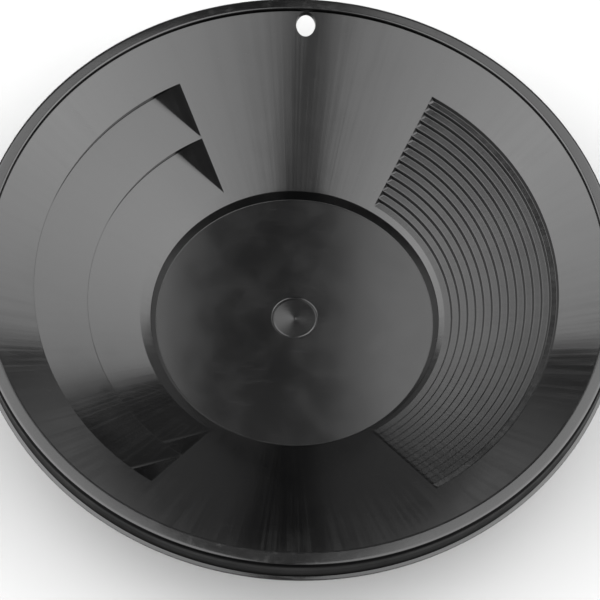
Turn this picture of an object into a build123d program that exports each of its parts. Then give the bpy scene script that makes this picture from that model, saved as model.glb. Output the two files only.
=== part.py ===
"""Fourteen inch plastic gold pan: one moulding, modelled as the zones it is shaped from.

Frame: origin at the centre of the flat base, +Z up, the hanging hole on +Y,
the fine riffles round +X and the two coarse traps round -X. Millimetres.
"""
from build123d import *

import os
from math import cos, degrees, radians, sin

os.makedirs("parts", exist_ok=True)

# Shell: every zone's underside is its upper face moved out and down by these two
FLOOR_THICKNESS = 2.0
SHELL_OUT = 1.4
UNDER = (SHELL_OUT, -FLOOR_THICKNESS)

# Gate pad: the floor's centre, with a fine ring groove, a shallow dish and the gate's nub
GATE_RADIUS = 13.6
RING_INNER = 11.9
RING_DEPTH = 0.25
RING_DRAFT = 0.3
DISH_DEPTH = 0.5
NUB_RADIUS = 0.9
NUB_HEIGHT = 0.35

# Floor, drop and wall, as radii from the pan's axis and heights above the base
FLOOR_RADIUS = 79.2
DROP_FOOT_RADIUS = 79.6
LIP_RADIUS = 82.2
LIP_HEIGHT = 7.4
LIP_FILLET = 1.2
WALL_SLOPE = 0.73
PANEL_INNER = 85.4
PANEL_OUTER = 144.3

# Rim bead: a short flank up from the wall, a tight inner shoulder, a crown and a wide outer shoulder
BEAD_INNER = 167.4
BEAD_TOP = 72.5
INNER_SHOULDER = 1.4
CROWN_INNER = 168.8
CROWN_OUTER = 170.0
OUTER_SHOULDER = 5.5
RIM_THICKNESS = 2.0

# Rim skirt, which hangs from the bead, and the small sloping flange at its foot
SKIRT_FOOT_RADIUS = 176.1
SKIRT_FOOT = 59.9
RIM_RADIUS = 177.8
FLANGE_EDGE = 59.0
FLANGE_BOTTOM = 58.0
FLANGE_FILLET = 0.35
QUARTER = 90

# Sectors that carry riffles, as half angles about +X and -X
FINE_HALF_ANGLE = 58.5
COARSE_HALF_ANGLE = 60.0

# Fine riffles: steps with an almost level tread and a steep riser
FINE_COUNT = 14
FINE_DEPTH = 2.5
FINE_DRAFT = 0.7
FINE_RUN = 2.5

# Coarse traps: two deep steps with an undercut riser, whose ends ramp back up to the wall
TRAP_CREST_INNER = 88.2
TRAP_CREST_OUTER = 116.5
TRAP_DEPTH = 5.9
TRAP_UNDERCUT = 2.0
TRAP_RUN = 17.2
CUT_HEADROOM = 4.0

# Hanging hole, cut straight down through the upper wall
HOLE_RADIUS = 5.6
HOLE_CENTRE = 161.5


def wall_height(radius):
    """Height of the pan's conical inner face at a radius."""
    return LIP_HEIGHT + WALL_SLOPE * (radius - LIP_RADIUS)


def meridian(angle):
    """Half plane through the pan's axis: local x is outward, local y is up."""
    turn = radians(angle)
    return Plane(origin=(0, 0, 0), x_dir=(cos(turn), sin(turn), 0), z_dir=(sin(turn), -cos(turn), 0))


def on_wall(radius, angle, drop=0.0, shift=(0.0, 0.0)):
    """Point on the wall's inner face, lowered by drop and moved by shift."""
    turn = radians(angle)
    reach = radius + shift[0]
    return (reach * cos(turn), reach * sin(turn), wall_height(radius) - drop + shift[1])


def shell(points):
    """Closed outline of a zone: its upper face, then the same points moved under it."""
    below = [(radius + SHELL_OUT, height - FLOOR_THICKNESS) for radius, height in reversed(points)]
    return points + below


def step(crest, riser, depth, draft, span, runs, shift, headroom):
    """Wedge between a crest and its riser over a span of angles, ramped at both ends.

    Cut from the wall it leaves a step; made again under the wall it backs that step.
    draft is how far the riser's foot stands in from its top, negative for an undercut.
    runs are the lengths of the two end ramps along the arc, at the riser.
    """
    crest_point = (crest + shift[0], wall_height(crest) + shift[1])
    riser_top = (riser + shift[0], wall_height(riser) + shift[1])
    riser_foot = (riser_top[0] - draft, riser_top[1] - depth)
    with BuildPart() as wedge:
        with BuildSketch(meridian(span[0])):
            with BuildLine():
                Polyline(
                    crest_point,
                    riser_foot,
                    riser_top,
                    (riser, wall_height(riser) + headroom),
                    (crest, wall_height(crest) + headroom),
                    close=True,
                )
            make_face()
        revolve(axis=Axis.Z, revolution_arc=span[1] - span[0])
        for angle, run in ((span[0], runs[0]), (span[1], -runs[1])):
            start = Vector(on_wall(riser, angle, shift=shift))
            along = Vector(on_wall(crest, angle, shift=shift)) - start
            foot_angle = angle + degrees(run / riser)
            foot = Vector(on_wall(riser, foot_angle, depth, (shift[0] - draft, shift[1])))
            normal = along.cross(foot - start)
            if normal.Z < 0:
                normal = normal * -1
            split(bisect_by=Plane(origin=start, z_dir=normal), keep=Keep.TOP)
    return wedge.part


def stepped_panel(inner, outer, span, steps):
    """Sector of wall between two radii, backed and cut by a list of steps."""
    backs = [step(*size, span, runs, UNDER, 0.0) for *size, runs in steps]
    cutters = [step(*size, span, runs, (0.0, 0.0), CUT_HEADROOM) for *size, runs in steps]
    with BuildPart() as panel:
        with BuildSketch(meridian(span[0])):
            with BuildLine():
                Polyline(*shell([(inner, wall_height(inner)), (outer, wall_height(outer))]), close=True)
            make_face()
        revolve(axis=Axis.Z, revolution_arc=span[1] - span[0])
        add(backs)
        add(cutters, mode=Mode.SUBTRACT)
    return panel.part


def finish(solid, name):
    """Label a zone and write its file."""
    solid.label = name
    export_step(solid, f"parts/{name}.step")


# Gate pad
nub_top = FLOOR_THICKNESS - DISH_DEPTH + NUB_HEIGHT
with BuildPart() as gate_pad:
    with BuildSketch(Plane.XZ):
        with BuildLine():
            Polyline(
                (0, 0),
                (GATE_RADIUS, 0),
                (GATE_RADIUS, FLOOR_THICKNESS),
                (GATE_RADIUS - RING_DRAFT, FLOOR_THICKNESS - RING_DEPTH),
                (RING_INNER + RING_DRAFT, FLOOR_THICKNESS - RING_DEPTH),
                (RING_INNER, FLOOR_THICKNESS),
                (NUB_RADIUS, FLOOR_THICKNESS - DISH_DEPTH),
                (NUB_RADIUS, nub_top),
                (0, nub_top),
                close=True,
            )
        make_face()
    revolve(axis=Axis.Z)
finish(gate_pad.part, "gate_pad")

# Floor disc: flat above and below, round the gate pad
with BuildPart() as floor_disc:
    with BuildSketch():
        Circle(FLOOR_RADIUS)
        Circle(GATE_RADIUS, mode=Mode.SUBTRACT)
    extrude(amount=FLOOR_THICKNESS)
finish(floor_disc.part, "floor_disc")

# Drop ring: the steep step up from the floor, its rounded lip and the foot of the wall
with BuildPart() as drop_ring:
    with BuildSketch(Plane.XZ):
        with BuildLine():
            Polyline(
                (FLOOR_RADIUS, 0),
                (FLOOR_RADIUS, FLOOR_THICKNESS),
                (DROP_FOOT_RADIUS, FLOOR_THICKNESS),
                (LIP_RADIUS, LIP_HEIGHT),
                (PANEL_INNER, wall_height(PANEL_INNER)),
                (PANEL_INNER + SHELL_OUT, wall_height(PANEL_INNER) - FLOOR_THICKNESS),
                (LIP_RADIUS + SHELL_OUT, LIP_HEIGHT - FLOOR_THICKNESS),
                (FLOOR_RADIUS + SHELL_OUT, 0),
                close=True,
            )
        section = make_face()
        lip_corner = section.vertices().sort_by_distance((LIP_RADIUS, LIP_HEIGHT, 0))[0]
        fillet(lip_corner, LIP_FILLET)
    revolve(axis=Axis.Z)
finish(drop_ring.part, "drop_ring")

# Plain wall panels, far side under the hanging hole and near side opposite it
far_span = (FINE_HALF_ANGLE, 180 - COARSE_HALF_ANGLE)
near_span = (180 + COARSE_HALF_ANGLE, 360 - FINE_HALF_ANGLE)
for panel_name, panel_span in (("far_wall_panel", far_span), ("near_wall_panel", near_span)):
    finish(stepped_panel(PANEL_INNER, PANEL_OUTER, panel_span, []), panel_name)

# Fine riffle panel
fine_span = (-FINE_HALF_ANGLE, FINE_HALF_ANGLE)
fine_pitch = (PANEL_OUTER - PANEL_INNER) / FINE_COUNT
fine_runs = (FINE_RUN, FINE_RUN)
fine_steps = []
for index in range(FINE_COUNT):
    crest_radius = PANEL_INNER + index * fine_pitch
    fine_steps.append((crest_radius, crest_radius + fine_pitch, FINE_DEPTH, FINE_DRAFT, fine_runs))
finish(stepped_panel(PANEL_INNER, PANEL_OUTER, fine_span, fine_steps), "fine_riffle_panel")

# Coarse traps, one panel each
coarse_span = (180 - COARSE_HALF_ANGLE, 180 + COARSE_HALF_ANGLE)
trap_runs = (TRAP_RUN, TRAP_RUN)
inner_trap = (TRAP_CREST_INNER, TRAP_CREST_OUTER, TRAP_DEPTH, -TRAP_UNDERCUT, trap_runs)
outer_trap = (TRAP_CREST_OUTER, PANEL_OUTER, TRAP_DEPTH, -TRAP_UNDERCUT, trap_runs)
finish(stepped_panel(PANEL_INNER, TRAP_CREST_OUTER, coarse_span, [inner_trap]), "coarse_trap_inner")
finish(stepped_panel(TRAP_CREST_OUTER, PANEL_OUTER, coarse_span, [outer_trap]), "coarse_trap_outer")

# Upper wall band, up to the bead, with the hanging hole
crease = (BEAD_INNER, wall_height(BEAD_INNER))
crease_under = (BEAD_INNER + SHELL_OUT, wall_height(BEAD_INNER) - FLOOR_THICKNESS)
with BuildPart() as upper_wall_band:
    with BuildSketch(Plane.XZ):
        with BuildLine():
            Polyline(*shell([(PANEL_OUTER, wall_height(PANEL_OUTER)), crease]), close=True)
        make_face()
    revolve(axis=Axis.Z)
    with BuildSketch():
        with Locations((0, HOLE_CENTRE)):
            Circle(HOLE_RADIUS)
    extrude(amount=BEAD_TOP, mode=Mode.SUBTRACT)
finish(upper_wall_band.part, "upper_wall_band")

# Rim, in four quarters: a bead that is rounded above and hollow beneath, a skirt that hangs
# from it with a little draft, and a flange turned out at the skirt's foot, sloping down outward
shoulder_height = BEAD_TOP - OUTER_SHOULDER
bead_outer = CROWN_OUTER + OUTER_SHOULDER
channel_inner = BEAD_INNER + RIM_THICKNESS
channel_outer = bead_outer - RIM_THICKNESS
channel_top = BEAD_TOP - RIM_THICKNESS
channel_shoulder = OUTER_SHOULDER - RIM_THICKNESS
channel_foot = (channel_inner, wall_height(channel_inner - SHELL_OUT) - FLOOR_THICKNESS)
skirt_foot_inner = SKIRT_FOOT_RADIUS - RIM_THICKNESS
for quarter, side in enumerate(("right", "far", "left", "near")):
    quarter_start = meridian(QUARTER * quarter - QUARTER / 2)

    with BuildPart() as rim_bead:
        with BuildSketch(quarter_start):
            with BuildLine():
                Line(crease, (BEAD_INNER, BEAD_TOP - INNER_SHOULDER))
                RadiusArc((BEAD_INNER, BEAD_TOP - INNER_SHOULDER), (CROWN_INNER, BEAD_TOP), INNER_SHOULDER)
                Line((CROWN_INNER, BEAD_TOP), (CROWN_OUTER, BEAD_TOP))
                RadiusArc((CROWN_OUTER, BEAD_TOP), (bead_outer, shoulder_height), OUTER_SHOULDER)
                Line((bead_outer, shoulder_height), (channel_outer, shoulder_height))
                RadiusArc((channel_outer, shoulder_height), (CROWN_OUTER, channel_top), -channel_shoulder)
                Polyline(
                    (CROWN_OUTER, channel_top),
                    (channel_inner, channel_top),
                    channel_foot,
                    crease_under,
                    crease,
                )
            make_face()
        revolve(axis=Axis.Z, revolution_arc=QUARTER)
    finish(rim_bead.part, f"rim_bead_{side}")

    with BuildPart() as rim_skirt:
        with BuildSketch(quarter_start):
            with BuildLine():
                Polyline(
                    (bead_outer, shoulder_height),
                    (SKIRT_FOOT_RADIUS, SKIRT_FOOT),
                    (skirt_foot_inner, SKIRT_FOOT),
                    (channel_outer, shoulder_height),
                    close=True,
                )
            make_face()
        revolve(axis=Axis.Z, revolution_arc=QUARTER)
    finish(rim_skirt.part, f"rim_skirt_{side}")

    with BuildPart() as rim_flange:
        with BuildSketch(quarter_start):
            with BuildLine():
                Polyline(
                    (skirt_foot_inner, FLANGE_BOTTOM),
                    (RIM_RADIUS, FLANGE_BOTTOM),
                    (RIM_RADIUS, FLANGE_EDGE),
                    (SKIRT_FOOT_RADIUS, SKIRT_FOOT),
                    (skirt_foot_inner, SKIRT_FOOT),
                    close=True,
                )
            section = make_face()
            fillet(section.vertices().group_by(Axis.X)[-1], FLANGE_FILLET)
        revolve(axis=Axis.Z, revolution_arc=QUARTER)
    finish(rim_flange.part, f"rim_flange_{side}")
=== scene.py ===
"""Looks of the fourteen inch gold pan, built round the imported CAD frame.

Metres, in the CAD's own frame: origin at the centre of the flat base, +Z up, the hanging hole
on +Y, the fine riffles round +X and the coarse traps round -X. The real pan is one moulding. Here
each zone of it is one closed mesh with rounded edges, which replaces that zone's CAD node or, at
the rim, its four quarter nodes. The zones meet face to face as they do in the CAD.
"""

from math import ceil, cos, hypot, pi, radians, sin, tan

import bmesh
import bpy
from mathutils import Matrix, Vector


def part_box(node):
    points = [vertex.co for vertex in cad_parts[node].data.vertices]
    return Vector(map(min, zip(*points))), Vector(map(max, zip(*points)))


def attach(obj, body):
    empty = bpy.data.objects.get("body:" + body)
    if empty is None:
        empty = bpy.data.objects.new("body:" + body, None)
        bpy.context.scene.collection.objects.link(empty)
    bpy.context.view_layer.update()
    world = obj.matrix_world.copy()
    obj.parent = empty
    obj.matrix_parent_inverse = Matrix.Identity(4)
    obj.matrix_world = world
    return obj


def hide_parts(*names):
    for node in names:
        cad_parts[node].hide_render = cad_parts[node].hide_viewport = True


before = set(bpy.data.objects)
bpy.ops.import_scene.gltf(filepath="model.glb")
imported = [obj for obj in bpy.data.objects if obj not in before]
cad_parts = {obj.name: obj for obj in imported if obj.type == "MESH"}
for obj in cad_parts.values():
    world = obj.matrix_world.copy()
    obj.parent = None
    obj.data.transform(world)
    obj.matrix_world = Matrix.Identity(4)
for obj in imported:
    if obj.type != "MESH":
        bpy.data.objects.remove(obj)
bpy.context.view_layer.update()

MM = 0.001


def reach(node):
    """Largest radius of a round CAD zone."""
    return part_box(node)[1].x


def top(node):
    """Height of a CAD zone's highest point."""
    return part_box(node)[1].z


def bottom(node):
    """Height of a CAD zone's lowest point."""
    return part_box(node)[0].z


# Shell: every underside is its upper face moved out and down by these two
SHELL_OUT = 1.4 * MM
SHELL_DOWN = top("floor_disc")

# Gate pad and floor
GATE_RADIUS = reach("gate_pad")
RING_INNER = 11.9 * MM
RING_DEPTH = 0.25 * MM
RING_DRAFT = 0.3 * MM
DISH_DEPTH = 0.5 * MM
NUB_RADIUS = 0.9 * MM
NUB_HEIGHT = 0.35 * MM
RING_ROUNDING = 0.12 * MM
DISH_ROUNDING = 0.15 * MM
FLOOR_RADIUS = reach("floor_disc")

# Wall: a cone from the lip over the drop up to the crease at the rim
PANEL_INNER = reach("drop_ring") - SHELL_OUT
PANEL_FOOT = top("drop_ring")
BEAD_INNER = reach("upper_wall_band") - SHELL_OUT
WALL_SLOPE = (top("upper_wall_band") - PANEL_FOOT) / (BEAD_INNER - PANEL_INNER)
PANEL_OUTER = PANEL_INNER + (top("far_wall_panel") - PANEL_FOOT) / WALL_SLOPE
DROP_FOOT_RADIUS = FLOOR_RADIUS + 0.4 * MM
LIP_RADIUS = FLOOR_RADIUS + 3.0 * MM
LIP_ROUNDING = 1.2 * MM
FLOOR_ROUNDING = 0.35 * MM
BASE_ROUNDING = 0.5 * MM

# Rim
BEAD_TOP = top("rim_bead_right")
SHOULDER_HEIGHT = top("rim_skirt_right")
BEAD_OUTER = reach("rim_bead_right")
OUTER_SHOULDER = BEAD_TOP - SHOULDER_HEIGHT
INNER_SHOULDER = 1.4 * MM
RIM_THICKNESS = 2.0 * MM
CHANNEL_ROUNDING = 0.8 * MM
FLANGE_INNER_ROUNDING = 0.3 * MM
# Outside this radius the bead takes the skirt's almost unreflecting material, painted shade along the
# rim's outer side
PAINTED_SHADE_RADIUS = BEAD_OUTER - 1.4 * MM
SKIRT_FOOT_RADIUS = BEAD_OUTER + 0.6 * MM
SKIRT_FOOT = bottom("rim_skirt_right")
RIM_RADIUS = SKIRT_FOOT_RADIUS + 1.7 * MM
FLANGE_BOTTOM = bottom("rim_flange_right")
FLANGE_EDGE = FLANGE_BOTTOM + 1.0 * MM
FLANGE_ROUNDING = 0.35 * MM

# Sectors, as half angles in degrees: the fine riffles about +X, the coarse traps about -X
FINE_HALF_ANGLE = 58.5
COARSE_HALF_ANGLE = 60.0

# Fine riffles
FINE_COUNT = 14
FINE_DEPTH = 2.5 * MM
FINE_DRAFT = 0.7 * MM
FINE_RUN = 2.5 * MM

# Coarse traps
TRAP_CREST_INNER = 88.2 * MM
TRAP_CREST_OUTER = PANEL_INNER + (top("coarse_trap_inner") - PANEL_FOOT) / WALL_SLOPE
TRAP_DEPTH = 5.9 * MM
TRAP_UNDERCUT = 2.0 * MM
TRAP_RUN = 17.2 * MM

# Edges of the steps are rounded as a moulding's are
CREST_ROUNDING = 0.35 * MM
FOOT_ROUNDING = 0.3 * MM

# Hanging hole
HOLE_RADIUS = 5.6 * MM
HOLE_CENTRE = 161.5 * MM
HOLE_ROUNDING = 0.22 * MM
CUTTER_CLEARANCE = 1.5 * MM

# The rim's CAD nodes come in quarters
QUARTERS = ("right", "far", "left", "near")

# Mesh
COLUMNS = 360
RAMP_COLUMNS = 8
PANEL_ROW = 4 * MM
FINE_TREAD_ROWS = 3
TRAP_TREAD_ROWS = 11
TRAP_RISER_ROWS = 2
HOLE_SIDES = 96
HOLE_ROUNDING_STEPS = 4
ARC_STEP = radians(15)
SHARP_ANGLE = radians(35)
MERGE = 1e-6


def wall_height(radius):
    """Height of the pan's conical inner face at a radius."""
    return PANEL_FOOT + WALL_SLOPE * (radius - PANEL_INNER)


def corner_arc(before, corner, after, rounding):
    """Points of the arc that rounds a corner, or the corner itself where it is sharp."""
    here = Vector(corner)
    back = Vector(before) - here
    onward = Vector(after) - here
    opening = back.angle(onward)
    if not rounding or opening > radians(178):
        return [corner]
    setback = min(rounding / tan(opening / 2), 0.45 * back.length, 0.45 * onward.length)
    start = here + back.normalized() * setback
    end = here + onward.normalized() * setback
    bisector = (back.normalized() + onward.normalized()).normalized()
    middle = here + bisector * setback / cos(opening / 2)
    radius = (start - middle).length
    first = (start - middle).normalized()
    last = (end - middle).normalized()
    count = max(2, ceil((pi - opening) / ARC_STEP))
    shares = [index / count for index in range(count + 1)]
    return [tuple(middle + first.slerp(last, share) * radius) for share in shares]


def rounded(corners, closed=True):
    """Outline of (radius, height) points from corners given as (radius, height, rounding)."""
    points = [(radius, height) for radius, height, rounding in corners]
    outline = []
    for index, (radius, height, rounding) in enumerate(corners):
        at_end = index in (0, len(corners) - 1)
        if at_end and not closed:
            outline.append((radius, height))
        else:
            following = points[(index + 1) % len(points)]
            outline += corner_arc(points[index - 1], (radius, height), following, rounding)
    return outline


def moulding(zone, vertices, faces, material):
    """Object made from vertices and faces, which replaces its zone's CAD node or quarter nodes."""
    mesh = bpy.data.meshes.new(f"{zone}_moulding")
    mesh.from_pydata(vertices, [], faces)
    shape = bmesh.new()
    shape.from_mesh(mesh)
    bmesh.ops.remove_doubles(shape, verts=shape.verts, dist=MERGE)
    loose = [edge for edge in shape.edges if not edge.link_faces]
    bmesh.ops.delete(shape, geom=loose, context="EDGES")
    bmesh.ops.recalc_face_normals(shape, faces=shape.faces)
    shape.to_mesh(mesh)
    shape.free()
    mesh.materials.append(material)
    piece = bpy.data.objects.new(mesh.name, mesh)
    bpy.context.scene.collection.objects.link(piece)
    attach(piece, "root")
    quarters = [f"{zone}_{side}" for side in QUARTERS]
    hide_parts(*(quarters if quarters[0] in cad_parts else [zone]))
    return piece


def shade(piece):
    """Smooth shading with crisp edges, weighted towards the larger faces."""
    piece.data.shade_smooth()
    piece.data.set_sharp_from_angle(angle=SHARP_ANGLE)
    weighting = piece.modifiers.new("weighted_normals", "WEIGHTED_NORMAL")
    weighting.keep_sharp = True


def lathe(node, corners, material):
    """Full ring turned round the pan's axis from a closed outline."""
    outline = rounded(corners)
    size = len(outline)
    vertices = []
    faces = []
    for column in range(COLUMNS):
        turn = 2 * pi * column / COLUMNS
        vertices += [(radius * cos(turn), radius * sin(turn), height) for radius, height in outline]
        here = column * size
        following = (column + 1) % COLUMNS * size
        for index in range(size):
            after = (index + 1) % size
            faces.append((here + index, following + index, following + after, here + after))
    piece = moulding(node, vertices, faces, material)
    shade(piece)
    return piece


def strip(first, second):
    """Quads between two rows of vertex numbers."""
    return [(first[k], first[k + 1], second[k + 1], second[k]) for k in range(len(first) - 1)]


def shell(node, grid, material):
    """Closed shell from a grid of (radius, angle, height), with the same grid beneath it."""
    rows = len(grid)
    columns = len(grid[0])
    vertices = []
    for out, down in ((0.0, 0.0), (SHELL_OUT, SHELL_DOWN)):
        for row in grid:
            for radius, angle, height in row:
                outer = radius + out
                vertices.append((outer * cos(angle), outer * sin(angle), height - down))
    upper = [[i * columns + k for k in range(columns)] for i in range(rows)]
    under = [[rows * columns + number for number in row] for row in upper]
    faces = []
    for index in range(rows - 1):
        faces += strip(upper[index], upper[index + 1])
        faces += strip(under[index + 1], under[index])
    faces += strip(under[0], upper[0])
    faces += strip(upper[-1], under[-1])
    full_circle = abs(grid[0][-1][1] - grid[0][0][1] - 2 * pi) < MERGE
    sides = () if full_circle else (0, -1)
    for side in sides:
        faces += strip([row[side] for row in upper], [row[side] for row in under])
    return moulding(node, vertices, faces, material)


def ramp_columns(radius, span, run):
    """Angle of each of a row's columns, and how far down the end ramps let it go, from 0 to 1."""
    low, high = radians(span[0]), radians(span[1])
    ramp = run / radius
    shares = [k / RAMP_COLUMNS for k in range(RAMP_COLUMNS)]
    count = round(span[1] - span[0])
    length = (high - low - 2 * ramp) / count
    return (
        [(low + ramp * share, share) for share in shares]
        + [(low + ramp + length * k, 1.0) for k in range(count + 1)]
        + [(high - ramp * share, share) for share in reversed(shares)]
    )


def fine_grid(profile, span):
    """Grid of the fine riffles, whose treads the end ramps cut off."""
    grid = []
    for radius, height in profile:
        wall = wall_height(radius)
        row = []
        for angle, share in ramp_columns(radius, span, FINE_RUN):
            row.append((radius, angle, wall - min(wall - height, FINE_DEPTH * share)))
        grid.append(row)
    return grid


def trap_grid(profile, span, crest, foot):
    """Grid of a coarse trap, whose end ramps widen from the crest outward to the undercut riser."""
    deepest = wall_height(foot[0]) - foot[1]
    on_riser = False
    grid = []
    for radius, height in profile:
        drop = wall_height(radius) - height
        on_riser = on_riser or radius > foot[0] - FOOT_ROUNDING
        fan = 1.0 if on_riser else max(0.0, (radius - crest) / (foot[0] - crest))
        row = []
        for angle, share in ramp_columns(radius, span, TRAP_RUN * fan):
            inward = TRAP_UNDERCUT * (1 - share) * drop / deepest
            row.append((radius - inward, angle, wall_height(radius - inward) - drop * share))
        grid.append(row)
    return grid


def plain_panel(node, span, inner, outer, material):
    """Stretch of plain conical wall."""
    rows = ceil((outer - inner) / PANEL_ROW)
    count = round(span[1] - span[0])
    angles = [radians(span[0] + (span[1] - span[0]) * k / count) for k in range(count + 1)]
    radii = [inner + (outer - inner) * i / rows for i in range(rows + 1)]
    grid = [[(radius, angle, wall_height(radius)) for angle in angles] for radius in radii]
    return shell(node, grid, material)


def evenly(start, end, count):
    """Points between two (radius, height) points, without the two themselves."""
    ends = zip(start, end)
    spans = [(low, high - low) for low, high in ends]
    return [tuple(low + size * k / (count + 1) for low, size in spans) for k in range(1, count + 1)]


def fine_riffles(material):
    """Fine riffle panel: fourteen steps, each an almost level tread and a steep riser."""
    pitch = (PANEL_OUTER - PANEL_INNER) / FINE_COUNT
    corners = [(PANEL_INNER, wall_height(PANEL_INNER), 0)]
    for index in range(1, FINE_COUNT + 1):
        riser = PANEL_INNER + index * pitch
        if index == FINE_COUNT:
            riser -= CREST_ROUNDING
        foot = (riser - FINE_DRAFT, wall_height(riser) - FINE_DEPTH)
        for point in evenly(corners[-1][:2], foot, FINE_TREAD_ROWS):
            corners.append((*point, 0))
        corners.append((*foot, FOOT_ROUNDING))
        corners.append((riser, wall_height(riser), CREST_ROUNDING))
    corners.append((PANEL_OUTER, wall_height(PANEL_OUTER), 0))
    profile = rounded(corners, closed=False)
    grid = fine_grid(profile, (-FINE_HALF_ANGLE, FINE_HALF_ANGLE))
    shade(shell("fine_riffle_panel", grid, material))


def coarse_trap(node, inner, crest, outer, material):
    """Coarse trap: a plain margin if any, then one deep step with an undercut riser and end ramps."""
    riser = outer - CREST_ROUNDING
    foot = (riser + TRAP_UNDERCUT, wall_height(riser) - TRAP_DEPTH)
    crest_point = (crest, wall_height(crest))
    corners = [(*crest_point, 0)]
    if inner < crest:
        corners = [(inner, wall_height(inner), 0), (*crest_point, CREST_ROUNDING)]
    for point in evenly(crest_point, foot, TRAP_TREAD_ROWS):
        corners.append((*point, 0))
    corners.append((*foot, FOOT_ROUNDING))
    riser_top = (riser, wall_height(riser))
    corners += [(*point, 0) for point in evenly(foot, riser_top, TRAP_RISER_ROWS)]
    corners.append((*riser_top, CREST_ROUNDING))
    corners.append((outer, wall_height(outer), 0))
    profile = rounded(corners, closed=False)
    grid = trap_grid(profile, (180 - COARSE_HALF_ANGLE, 180 + COARSE_HALF_ANGLE), crest, foot)
    shade(shell(node, grid, material))


def gate_pad(material):
    """Floor's centre: a ring groove, a shallow dish and the gate's nub."""
    dish = SHELL_DOWN - DISH_DEPTH
    lathe("gate_pad", [
        (0, 0, 0),
        (GATE_RADIUS, 0, 0),
        (GATE_RADIUS, SHELL_DOWN, 0),
        (GATE_RADIUS - RING_DRAFT, SHELL_DOWN - RING_DEPTH, RING_ROUNDING),
        (RING_INNER + RING_DRAFT, SHELL_DOWN - RING_DEPTH, RING_ROUNDING),
        (RING_INNER, SHELL_DOWN, DISH_ROUNDING),
        (NUB_RADIUS, dish, DISH_ROUNDING),
        (NUB_RADIUS, dish + NUB_HEIGHT, DISH_ROUNDING),
        (0, dish + NUB_HEIGHT, 0),
    ], material)


def floor_disc(material):
    """Flat floor round the gate pad."""
    lathe("floor_disc", [
        (GATE_RADIUS, 0, 0),
        (FLOOR_RADIUS, 0, 0),
        (FLOOR_RADIUS, SHELL_DOWN, 0),
        (GATE_RADIUS, SHELL_DOWN, 0),
    ], material)


def drop_ring(material):
    """Steep step up from the floor, its rounded lip and the foot of the wall."""
    lip_height = wall_height(LIP_RADIUS)
    panel_height = wall_height(PANEL_INNER)
    lathe("drop_ring", [
        (FLOOR_RADIUS, 0, 0),
        (FLOOR_RADIUS, SHELL_DOWN, 0),
        (DROP_FOOT_RADIUS, SHELL_DOWN, FLOOR_ROUNDING),
        (LIP_RADIUS, lip_height, LIP_ROUNDING),
        (PANEL_INNER, panel_height, 0),
        (PANEL_INNER + SHELL_OUT, panel_height - SHELL_DOWN, 0),
        (LIP_RADIUS + SHELL_OUT, lip_height - SHELL_DOWN, LIP_ROUNDING),
        (FLOOR_RADIUS + SHELL_OUT, 0, BASE_ROUNDING),
    ], material)


def rim(materials):
    """Bead, skirt and flange, turned as whole rings from the section of the rolled rim."""
    crease = wall_height(BEAD_INNER)
    channel_inner = BEAD_INNER + RIM_THICKNESS
    channel_outer = BEAD_OUTER - RIM_THICKNESS
    channel_top = BEAD_TOP - RIM_THICKNESS
    channel_foot = wall_height(channel_inner - SHELL_OUT) - SHELL_DOWN
    bead = lathe("rim_bead", [
        (BEAD_INNER, crease, 0),
        (BEAD_INNER, BEAD_TOP, INNER_SHOULDER),
        (BEAD_OUTER, BEAD_TOP, OUTER_SHOULDER),
        (BEAD_OUTER, SHOULDER_HEIGHT, 0),
        (channel_outer, SHOULDER_HEIGHT, 0),
        (channel_outer, channel_top, OUTER_SHOULDER - RIM_THICKNESS),
        (channel_inner, channel_top, CHANNEL_ROUNDING),
        (channel_inner, channel_foot, 0),
        (BEAD_INNER + SHELL_OUT, crease - SHELL_DOWN, 0),
    ], materials["rim"])
    # The bead's outer faces take the skirt's almost unreflecting material: painted shade
    bead.data.materials.append(materials["skirt"])
    for face in bead.data.polygons:
        face.material_index = int(hypot(face.center.x, face.center.y) > PAINTED_SHADE_RADIUS)
    skirt_inner = SKIRT_FOOT_RADIUS - RIM_THICKNESS
    # The skirt's almost unreflecting material is painted shade
    lathe("rim_skirt", [
        (BEAD_OUTER, SHOULDER_HEIGHT, 0),
        (SKIRT_FOOT_RADIUS, SKIRT_FOOT, 0),
        (skirt_inner, SKIRT_FOOT, 0),
        (channel_outer, SHOULDER_HEIGHT, 0),
    ], materials["skirt"])
    lathe("rim_flange", [
        (skirt_inner, FLANGE_BOTTOM, FLANGE_INNER_ROUNDING),
        (RIM_RADIUS, FLANGE_BOTTOM, FLANGE_ROUNDING),
        (RIM_RADIUS, FLANGE_EDGE, FLANGE_ROUNDING),
        (SKIRT_FOOT_RADIUS, SKIRT_FOOT, 0),
        (skirt_inner, SKIRT_FOOT, 0),
    ], materials["rim"])


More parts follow.
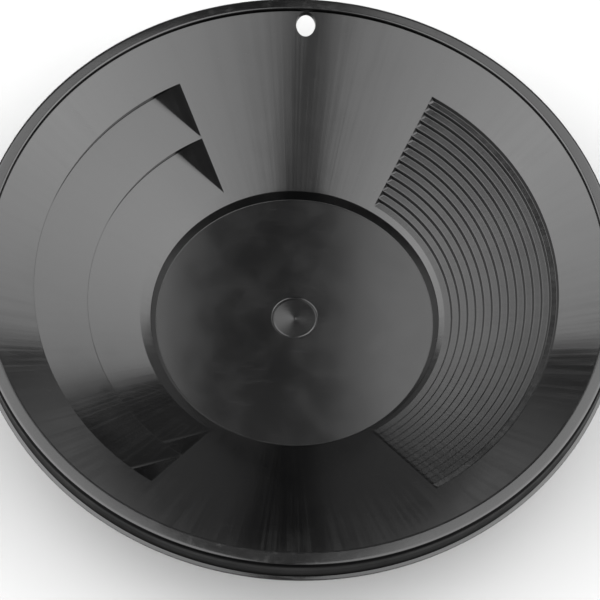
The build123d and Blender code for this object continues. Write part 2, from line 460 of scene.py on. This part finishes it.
def hole_cutter():
    """Solid that cuts the hanging hole straight down, with a small rounding at both faces."""
    thickness = SHELL_DOWN + SHELL_OUT * WALL_SLOPE
    rings = [(HOLE_RADIUS + HOLE_ROUNDING, CUTTER_CLEARANCE)]
    for index in range(HOLE_ROUNDING_STEPS + 1):
        turn = pi / 2 * index / HOLE_ROUNDING_STEPS
        rings.append((HOLE_RADIUS + HOLE_ROUNDING * (1 - sin(turn)), -HOLE_ROUNDING * (1 - cos(turn))))
    rings += [(radius, -thickness - height) for radius, height in reversed(rings)]
    shape = bmesh.new()
    loops = []
    for radius, above in rings:
        loop = []
        for index in range(HOLE_SIDES):
            turn = 2 * pi * index / HOLE_SIDES
            x = radius * cos(turn)
            y = HOLE_CENTRE + radius * sin(turn)
            loop.append(shape.verts.new((x, y, wall_height(hypot(x, y)) + above)))
        loops.append(loop)
    for lower, upper in zip(loops, loops[1:]):
        for index in range(HOLE_SIDES):
            after = (index + 1) % HOLE_SIDES
            shape.faces.new((lower[index], lower[after], upper[after], upper[index]))
    for loop in (loops[0], loops[-1]):
        cap = shape.verts.new(sum((vertex.co for vertex in loop), Vector()) / HOLE_SIDES)
        for index in range(HOLE_SIDES):
            shape.faces.new((loop[index], loop[(index + 1) % HOLE_SIDES], cap))
    bmesh.ops.recalc_face_normals(shape, faces=shape.faces)
    mesh = bpy.data.meshes.new("hole_cutter")
    shape.to_mesh(mesh)
    shape.free()
    cutter = bpy.data.objects.new("hole_cutter", mesh)
    bpy.context.scene.collection.objects.link(cutter)
    return cutter


def upper_wall_band(material):
    """Plain wall between the riffles and the rim, with the hanging hole cut through it."""
    piece = plain_panel("upper_wall_band", (0, 360), PANEL_OUTER, BEAD_INNER, material)
    cutter = hole_cutter()
    cut = piece.modifiers.new("hanging_hole", "BOOLEAN")
    cut.object = cutter
    cut.operation = "DIFFERENCE"
    cut.solver = "EXACT"
    graph = bpy.context.evaluated_depsgraph_get()
    mesh = bpy.data.meshes.new_from_object(piece.evaluated_get(graph))
    piece.modifiers.clear()
    piece.data = mesh
    bpy.data.objects.remove(cutter)
    shade(piece)


# ---------------------------------------------------------------- materials

# Noise scales, per metre: slow change of gloss, moulding grain and worn patches
CLOUD_SCALE = 38.0
GRAIN_SCALE = 1900.0
WEAR_SCALE = 210.0

# Polar noise, as its pace round the pan and its pace outward
TURNING_PACE = (1.2, 2600.0)
FLOW_PACE = (60.0, 9.0)

# Hairlines: directions in degrees with the offset that makes each set its own
SCRATCH_SCALE = (45, 2600, 45)
SCRATCH_SETS = ((24, 1.7), (81, 5.1), (143, 9.4))

# Colours of the plastic, and of its scuffs
BLACK = (0.0005, 0.0005, 0.0006, 1)
SOFT_BLACK = (0.0011, 0.0011, 0.0011, 1)
SCUFFED = (0.006, 0.006, 0.006, 1)

# Bump distances
GRAIN_BUMP = 0.012 * MM
TURNING_BUMP = 0.010 * MM
FLOW_BUMP = 0.030 * MM
SCUFF_BUMP = 0.006 * MM
LEAST_BUMP = 0.02


def add(tree, kind, links=None, **settings):
    """New shader node with its sockets set or linked."""
    made = tree.nodes.new(f"ShaderNode{kind}")
    for name, value in settings.items():
        setattr(made, name, value)
    for socket, value in (links or {}).items():
        if isinstance(value, bpy.types.NodeSocket):
            tree.links.new(value, made.inputs[socket])
        else:
            made.inputs[socket].default_value = value
    return made


def polar(tree, coordinates, around, outward):
    """Coordinates that run round the pan's axis slowly and outward quickly, with no seam."""
    flat = add(tree, "VectorMath", {0: coordinates, 1: (1, 1, 0)}, operation="MULTIPLY").outputs[0]
    radius = add(tree, "VectorMath", {0: flat}, operation="LENGTH").outputs["Value"]
    spoke = add(tree, "VectorMath", {0: flat}, operation="NORMALIZE").outputs[0]
    spread = add(tree, "VectorMath", {0: spoke, "Scale": around}, operation="SCALE").outputs[0]
    out = add(tree, "Math", {0: radius, 1: outward}, operation="MULTIPLY").outputs[0]
    lift = add(tree, "CombineXYZ", {"Z": out}).outputs[0]
    return add(tree, "VectorMath", {0: spread, 1: lift}, operation="ADD").outputs[0]


def noise(tree, vector, scale, detail=2.0, rough=0.5):
    """Value of a noise texture."""
    inputs = {"Vector": vector, "Scale": scale, "Detail": detail, "Roughness": rough}
    return add(tree, "TexNoise", inputs).outputs[0]


def remap(tree, value, low, high, to_low, to_high):
    """Value moved smoothly from one range to another."""
    inputs = {"Value": value, "From Min": low, "From Max": high, "To Min": to_low, "To Max": to_high}
    return add(tree, "MapRange", inputs, interpolation_type="SMOOTHSTEP").outputs[0]


def plus(tree, first, second):
    """Sum of two values."""
    return add(tree, "Math", {0: first, 1: second}, operation="ADD").outputs[0]


def scratches(tree, coordinates, direction, seed):
    """Sparse hairline scratches that run one way across the pan."""
    stretched = add(tree, "Mapping", {
        "Vector": coordinates,
        "Location": (seed, seed * 0.37, 0),
        "Rotation": (0, 0, radians(direction)),
        "Scale": SCRATCH_SCALE,
    }).outputs[0]
    return remap(tree, noise(tree, stretched, 1.0, 1.0, 0.4), 0.70, 0.80, 0.0, 1.0)


def plastic(name, roughness, grit=0.5, lines=0.0, streaks=0.0, wear=0.0, specular=0.5):
    """Black moulded plastic: satin grain, turning lines, flow streaks, scuffs and hairlines."""
    material = bpy.data.materials.new(name)
    material.use_nodes = True
    tree = material.node_tree
    tree.nodes.clear()
    place = add(tree, "TexCoord").outputs["Object"]
    cloud = noise(tree, place, CLOUD_SCALE, 3.0, 0.55)
    grain = noise(tree, place, GRAIN_SCALE, 2.0, 0.6)
    turning = noise(tree, polar(tree, place, *TURNING_PACE), 1.0, 3.0, 0.7)
    flow = noise(tree, polar(tree, place, *FLOW_PACE), 1.0, 3.0, 0.55)
    scuff = scratches(tree, place, *SCRATCH_SETS[0])
    for direction, seed in SCRATCH_SETS[1:]:
        scuff = plus(tree, scuff, scratches(tree, place, direction, seed))

    rough = remap(tree, cloud, 0.35, 0.70, roughness * 0.88, roughness * 1.16)
    rough = plus(tree, rough, remap(tree, scuff, 0.0, 1.0, 0.0, 0.05))
    rough = plus(tree, rough, remap(tree, flow, 0.40, 0.65, 0.0, streaks * 0.12))
    rough = plus(tree, rough, remap(tree, turning, 0.45, 0.65, 0.0, lines * 0.10))
    worn = remap(tree, noise(tree, place, WEAR_SCALE, 4.0, 0.6), 0.50, 0.68, 0.0, wear)
    rough = plus(tree, rough, remap(tree, worn, 0.0, 1.0, 0.0, 0.22))

    shade_of = add(tree, "Mix", {
        "Factor": cloud,
        "A": BLACK,
        "B": SOFT_BLACK,
    }, data_type="RGBA")
    tint = add(tree, "Mix", {
        "Factor": plus(tree, remap(tree, scuff, 0.0, 1.0, 0.0, 0.25), worn),
        "A": shade_of.outputs["Result"],
        "B": SCUFFED,
    }, data_type="RGBA")

    bump = add(tree, "Bump", {"Height": grain, "Strength": grit, "Distance": GRAIN_BUMP})
    bump = add(tree, "Bump", {
        "Height": turning, "Strength": max(lines, LEAST_BUMP), "Distance": TURNING_BUMP,
        "Normal": bump.outputs[0],
    })
    bump = add(tree, "Bump", {
        "Height": flow, "Strength": max(streaks, LEAST_BUMP), "Distance": FLOW_BUMP,
        "Normal": bump.outputs[0],
    })
    bump = add(tree, "Bump", {
        "Height": scuff, "Strength": 0.3, "Distance": SCUFF_BUMP, "Normal": bump.outputs[0],
    }, invert=True)

    surface = add(tree, "BsdfPrincipled", {
        "Base Color": tint.outputs["Result"],
        "Roughness": rough,
        "IOR": 1.55,
        "Specular IOR Level": specular,
        "Normal": bump.outputs[0],
    })
    output = add(tree, "OutputMaterial")
    tree.links.new(surface.outputs[0], output.inputs["Surface"])
    return material


# ---------------------------------------------------------------- studio


PANEL_DISTANCE = 2.4
PANEL_ELEVATION = radians(45)
HOT_STRENGTH = 5.4
EDGE_STRENGTH = 2.4
HOT_REACH = 1.2
CEILING_HEIGHT = 3.0
FLOOR_HALF = 8.0
FLOOR_TONES = (0.385, 0.395)
ROOM_STRENGTHS = (0.14, 1.1)

CAMERA_DISTANCE = 1.0
CAMERA_AZIMUTH = radians(-2.10)
CAMERA_ELEVATION = radians(61.66)
CAMERA_ROLL = radians(4.11)
CAMERA_LENS = 107.17
CAMERA_TARGET = Vector((2.18, -3.11, 30.0)) * MM


def glow(name, hot, edge, radius):
    """Emission that falls from a hot centre towards the panel's edges."""
    material = bpy.data.materials.new(name)
    material.use_nodes = True
    tree = material.node_tree
    tree.nodes.clear()
    place = add(tree, "TexCoord").outputs["Object"]
    away = add(tree, "VectorMath", {0: place}, operation="LENGTH").outputs["Value"]
    inputs = {"Value": away, "From Min": 0.0, "From Max": radius, "To Min": hot, "To Max": edge}
    strength = add(tree, "MapRange", inputs).outputs[0]
    light = add(tree, "Emission", {"Color": (1, 1, 1, 1), "Strength": strength})
    output = add(tree, "OutputMaterial")
    tree.links.new(light.outputs[0], output.inputs["Surface"])
    return material


def light_panel(name, centre, across, along, size, material):
    """Flat glowing panel: size is its (left, right, lower, upper) reach from its centre."""
    left, right, lower, upper = size
    mesh = bpy.data.meshes.new(name)
    corners = [(left, lower, 0), (right, lower, 0), (right, upper, 0), (left, upper, 0)]
    mesh.from_pydata(corners, [], [(0, 1, 2, 3)])
    mesh.materials.append(material)
    panel = bpy.data.objects.new(name, mesh)
    bpy.context.scene.collection.objects.link(panel)
    facing = across.cross(along)
    turned = Matrix((across, along, facing)).transposed().to_4x4()
    panel.matrix_world = Matrix.Translation(centre) @ turned
    panel.visible_camera = False


def softbox(name, side, near, far, lower, upper):
    """Large side softbox on +X or -X; its edges are tangents of angles seen from the pan."""
    centre = Vector((side * cos(PANEL_ELEVATION), 0, sin(PANEL_ELEVATION))) * PANEL_DISTANCE
    along = Vector((-side * sin(PANEL_ELEVATION), 0, cos(PANEL_ELEVATION)))
    size = [tangent * PANEL_DISTANCE for tangent in (near, far, lower, upper)]
    material = glow(f"{name}_glow", HOT_STRENGTH, EDGE_STRENGTH, HOT_REACH * PANEL_DISTANCE)
    light_panel(name, centre, Vector((0, 1, 0)), along, size, material)


def ceiling(name, strength, x_reach, y_low, y_high):
    """Dim level panel above the pan."""
    centre = Vector((0, 0, CEILING_HEIGHT))
    size = (-x_reach, x_reach, y_low, y_high)
    material = glow(f"{name}_glow", strength, strength, 1.0)
    light_panel(name, centre, Vector((1, 0, 0)), Vector((0, 1, 0)), size, material)


def world_light():
    """Dim room, paler towards the horizon behind the hanging hole."""
    world = bpy.data.worlds.new("room")
    bpy.context.scene.world = world
    world.use_nodes = True
    tree = world.node_tree
    tree.nodes.clear()
    direction = add(tree, "TexCoord").outputs["Generated"]
    parts = add(tree, "SeparateXYZ", {0: direction}).outputs
    low = remap(tree, parts["Z"], 0.0, 0.35, 1.0, 0.0)
    behind = remap(tree, parts["Y"], 0.0, 0.9, 0.0, 1.0)
    pale = add(tree, "Math", {0: low, 1: behind}, operation="MULTIPLY").outputs[0]
    strength = remap(tree, pale, 0.0, 1.0, *ROOM_STRENGTHS)
    light = add(tree, "Background", {"Color": (1, 1, 1, 1), "Strength": strength})
    output = add(tree, "OutputWorld")
    tree.links.new(light.outputs[0], output.inputs["Surface"])


def floor():
    """Plain pale floor."""
    half = FLOOR_HALF
    corners = [(-half, -half, 0), (half, -half, 0), (half, half, 0), (-half, half, 0)]
    mesh = bpy.data.meshes.new("floor")
    mesh.from_pydata(corners, [], [(0, 1, 2, 3)])
    material = bpy.data.materials.new("floor_paint")
    material.use_nodes = True
    tree = material.node_tree
    tree.nodes.clear()
    place = add(tree, "TexCoord").outputs["Object"]
    tone = remap(tree, noise(tree, place, 4.0, 2.0), 0.3, 0.7, *FLOOR_TONES)
    colour = add(tree, "CombineColor", {0: tone, 1: tone, 2: tone}).outputs[0]
    surface = add(tree, "BsdfPrincipled", {
        "Base Color": colour, "Roughness": 0.9, "Specular IOR Level": 0.1,
    })
    output = add(tree, "OutputMaterial")
    tree.links.new(surface.outputs[0], output.inputs["Surface"])
    mesh.materials.append(material)
    plane = bpy.data.objects.new("floor", mesh)
    bpy.context.scene.collection.objects.link(plane)


def camera():
    """Camera in front of the pan, looking steeply down, with a little roll."""
    level = cos(CAMERA_ELEVATION)
    across, away = sin(CAMERA_AZIMUTH), -cos(CAMERA_AZIMUTH)
    back = Vector((across * level, away * level, sin(CAMERA_ELEVATION)))
    right = Vector((-away, across, 0))
    up = right.cross(-back)
    rolled_right = right * cos(CAMERA_ROLL) + up * sin(CAMERA_ROLL)
    rolled_up = up * cos(CAMERA_ROLL) - right * sin(CAMERA_ROLL)
    data = bpy.data.cameras.new("camera")
    data.sensor_width = 36
    data.lens = CAMERA_LENS
    data.clip_start = 0.05
    data.clip_end = 50
    made = bpy.data.objects.new("camera", data)
    bpy.context.scene.collection.objects.link(made)
    turned = Matrix((rolled_right, rolled_up, back)).transposed().to_4x4()
    made.matrix_world = Matrix.Translation(CAMERA_TARGET + back * CAMERA_DISTANCE) @ turned
    bpy.context.scene.camera = made


# ---------------------------------------------------------------- assembly

smooth = plastic("floor_plastic", 0.13, grit=0.10, lines=0.06)
walls = plastic("wall_plastic", 0.15, streaks=0.6)
stepped = plastic("riffle_plastic", 0.16, streaks=0.3)
rims = {
    "rim": plastic("rim_plastic", 0.14, lines=0.2, wear=0.35),
    # The skirt reflects almost nothing, so it renders black: painted shade of the groove between bead
    # and flange
    "skirt": plastic("skirt_painted_shade", 0.40, specular=0.05),
}

gate_pad(smooth)
floor_disc(smooth)
drop_ring(walls)
far_span = (FINE_HALF_ANGLE, 180 - COARSE_HALF_ANGLE)
near_span = (180 + COARSE_HALF_ANGLE, 360 - FINE_HALF_ANGLE)
shade(plain_panel("far_wall_panel", far_span, PANEL_INNER, PANEL_OUTER, walls))
shade(plain_panel("near_wall_panel", near_span, PANEL_INNER, PANEL_OUTER, walls))
fine_riffles(stepped)
coarse_trap("coarse_trap_inner", PANEL_INNER, TRAP_CREST_INNER, TRAP_CREST_OUTER, stepped)
coarse_trap("coarse_trap_outer", TRAP_CREST_OUTER, TRAP_CREST_OUTER, PANEL_OUTER, stepped)
upper_wall_band(walls)
rim(rims)

floor()
world_light()
softbox("softbox_right", 1, -0.95, 1.13, -0.58, 0.88)
softbox("softbox_left", -1, -0.95, 0.97, -0.58, 0.85)
ceiling("ceiling_middle", 0.28, 0.25, -0.9, 1.35)
ceiling("ceiling_front", 0.7, 0.45, -2.5, -1.95)
camera()
bpy.context.scene.view_settings.view_transform = "Standard"
